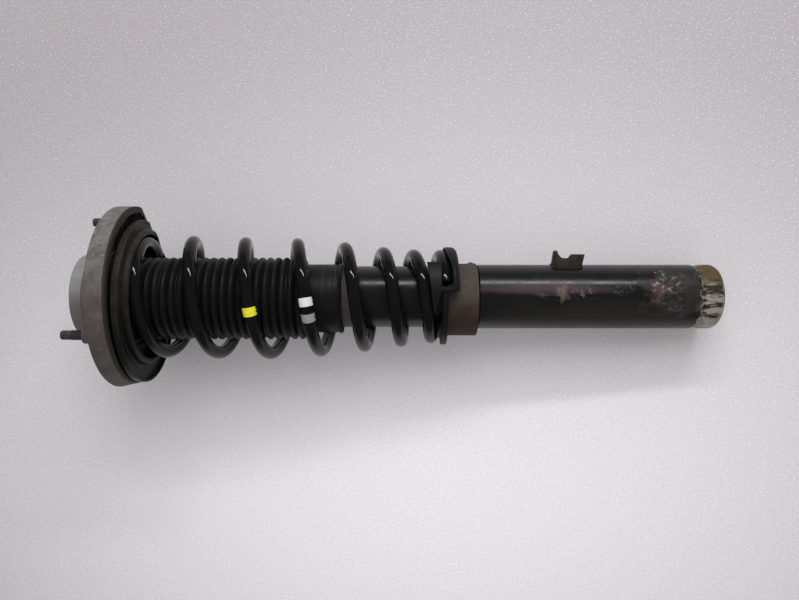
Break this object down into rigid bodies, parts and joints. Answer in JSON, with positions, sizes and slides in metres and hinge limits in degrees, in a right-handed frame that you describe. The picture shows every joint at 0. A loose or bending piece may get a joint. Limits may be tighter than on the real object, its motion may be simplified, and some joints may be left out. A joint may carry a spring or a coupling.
{
  "type": "suspension strut assembly",
  "caption": "Used front suspension strut: coil spring over a damper with dust boot, slanted spring seat, hose bracket and cast top mount with studs and ball bearing",
  "frame": {"origin": "centre of the flat end of the foot, on the strut's axis", "axes": "+X runs up the strut from the foot to the top mount, +Z towards the side the hose bracket faces, the strut lies along X"},
  "size_m": [0.541, 0.1545, 0.1546],
  "materials": {
    "black_paint": "satin",
    "bare_steel": "satin",
    "zinc": "satin",
    "brass": "satin",
    "aluminium": "satin",
    "cast_aluminium": "matte",
    "chrome": "gloss",
    "plastic": "matte",
    "rubber": "satin",
    "foam": "matte",
    "gloss_black": "gloss",
    "black_steel": "satin",
    "bolt_steel": "satin",
    "rusty_steel": "matte"
  },
  "bodies": {
    "strut_body": {"strut_tube": "black_paint", "foot_cap": "bare_steel", "tube_cap": "zinc", "pressure_tube": "bare_steel", "foot_valve": "brass", "rod_guide": "aluminium", "guide_bush": "brass", "rod_seal": "rubber", "lower_spring_collar": "rusty_steel", "lower_spring_pad": "rubber", "hose_bracket": "rusty_steel", "coil_spring": "gloss_black", "dust_boot": "rubber"},
    "rod": {"piston_rod": "chrome", "piston": "bare_steel", "piston_ring": "plastic", "piston_nut": "bare_steel", "rebound_stop": "bare_steel", "rebound_buffer": "rubber", "bump_stop": "foam", "upper_spring_plate": "black_steel", "upper_spring_pad": "rubber", "spacer_sleeve": "bolt_steel", "bearing_inner_race": "chrome", "rod_washer": "bolt_steel", "rod_nut": "bolt_steel"},
    "top_mount": {"mount_casting": "cast_aluminium", "mount_boss": "aluminium", "mount_stud_1": "bolt_steel", "mount_stud_2": "bolt_steel", "mount_stud_3": "bolt_steel", "mount_bush": "rubber", "bush_sleeve": "bare_steel", "bearing_outer_race": "chrome", "bearing_circlip": "bolt_steel"},
    "ball_cage": {"bearing_cage": "brass", "bearing_ball_01": "chrome", "bearing_ball_02": "chrome", "bearing_ball_03": "chrome", "bearing_ball_04": "chrome", "bearing_ball_05": "chrome", "bearing_ball_06": "chrome", "bearing_ball_07": "chrome", "bearing_ball_08": "chrome", "bearing_ball_09": "chrome", "bearing_ball_10": "chrome"}
  },
  "joints": [
    {"name": "compression", "type": "slide", "parent": "strut_body", "child": "rod", "axis": [-1, 0, 0], "range_m": [0, 0.1], "stiffness_N_per_m": 27000, "springref_m": -0.04, "deforming": ["coil_spring", "dust_boot"]},
    {"name": "steering_swivel", "type": "hinge", "parent": "rod", "child": "top_mount", "pos_m": [0.5164, 0, 0], "axis": [1, 0, 0], "continuous": true},
    {"name": "cage_turn", "type": "hinge", "parent": "rod", "child": "ball_cage", "pos_m": [0.5164, 0, 0], "axis": [1, 0, 0], "continuous": true}
  ],
  "couplings": [
    {"joint": "cage_turn", "follows": "steering_swivel", "ratio": 0.6}
  ]
}
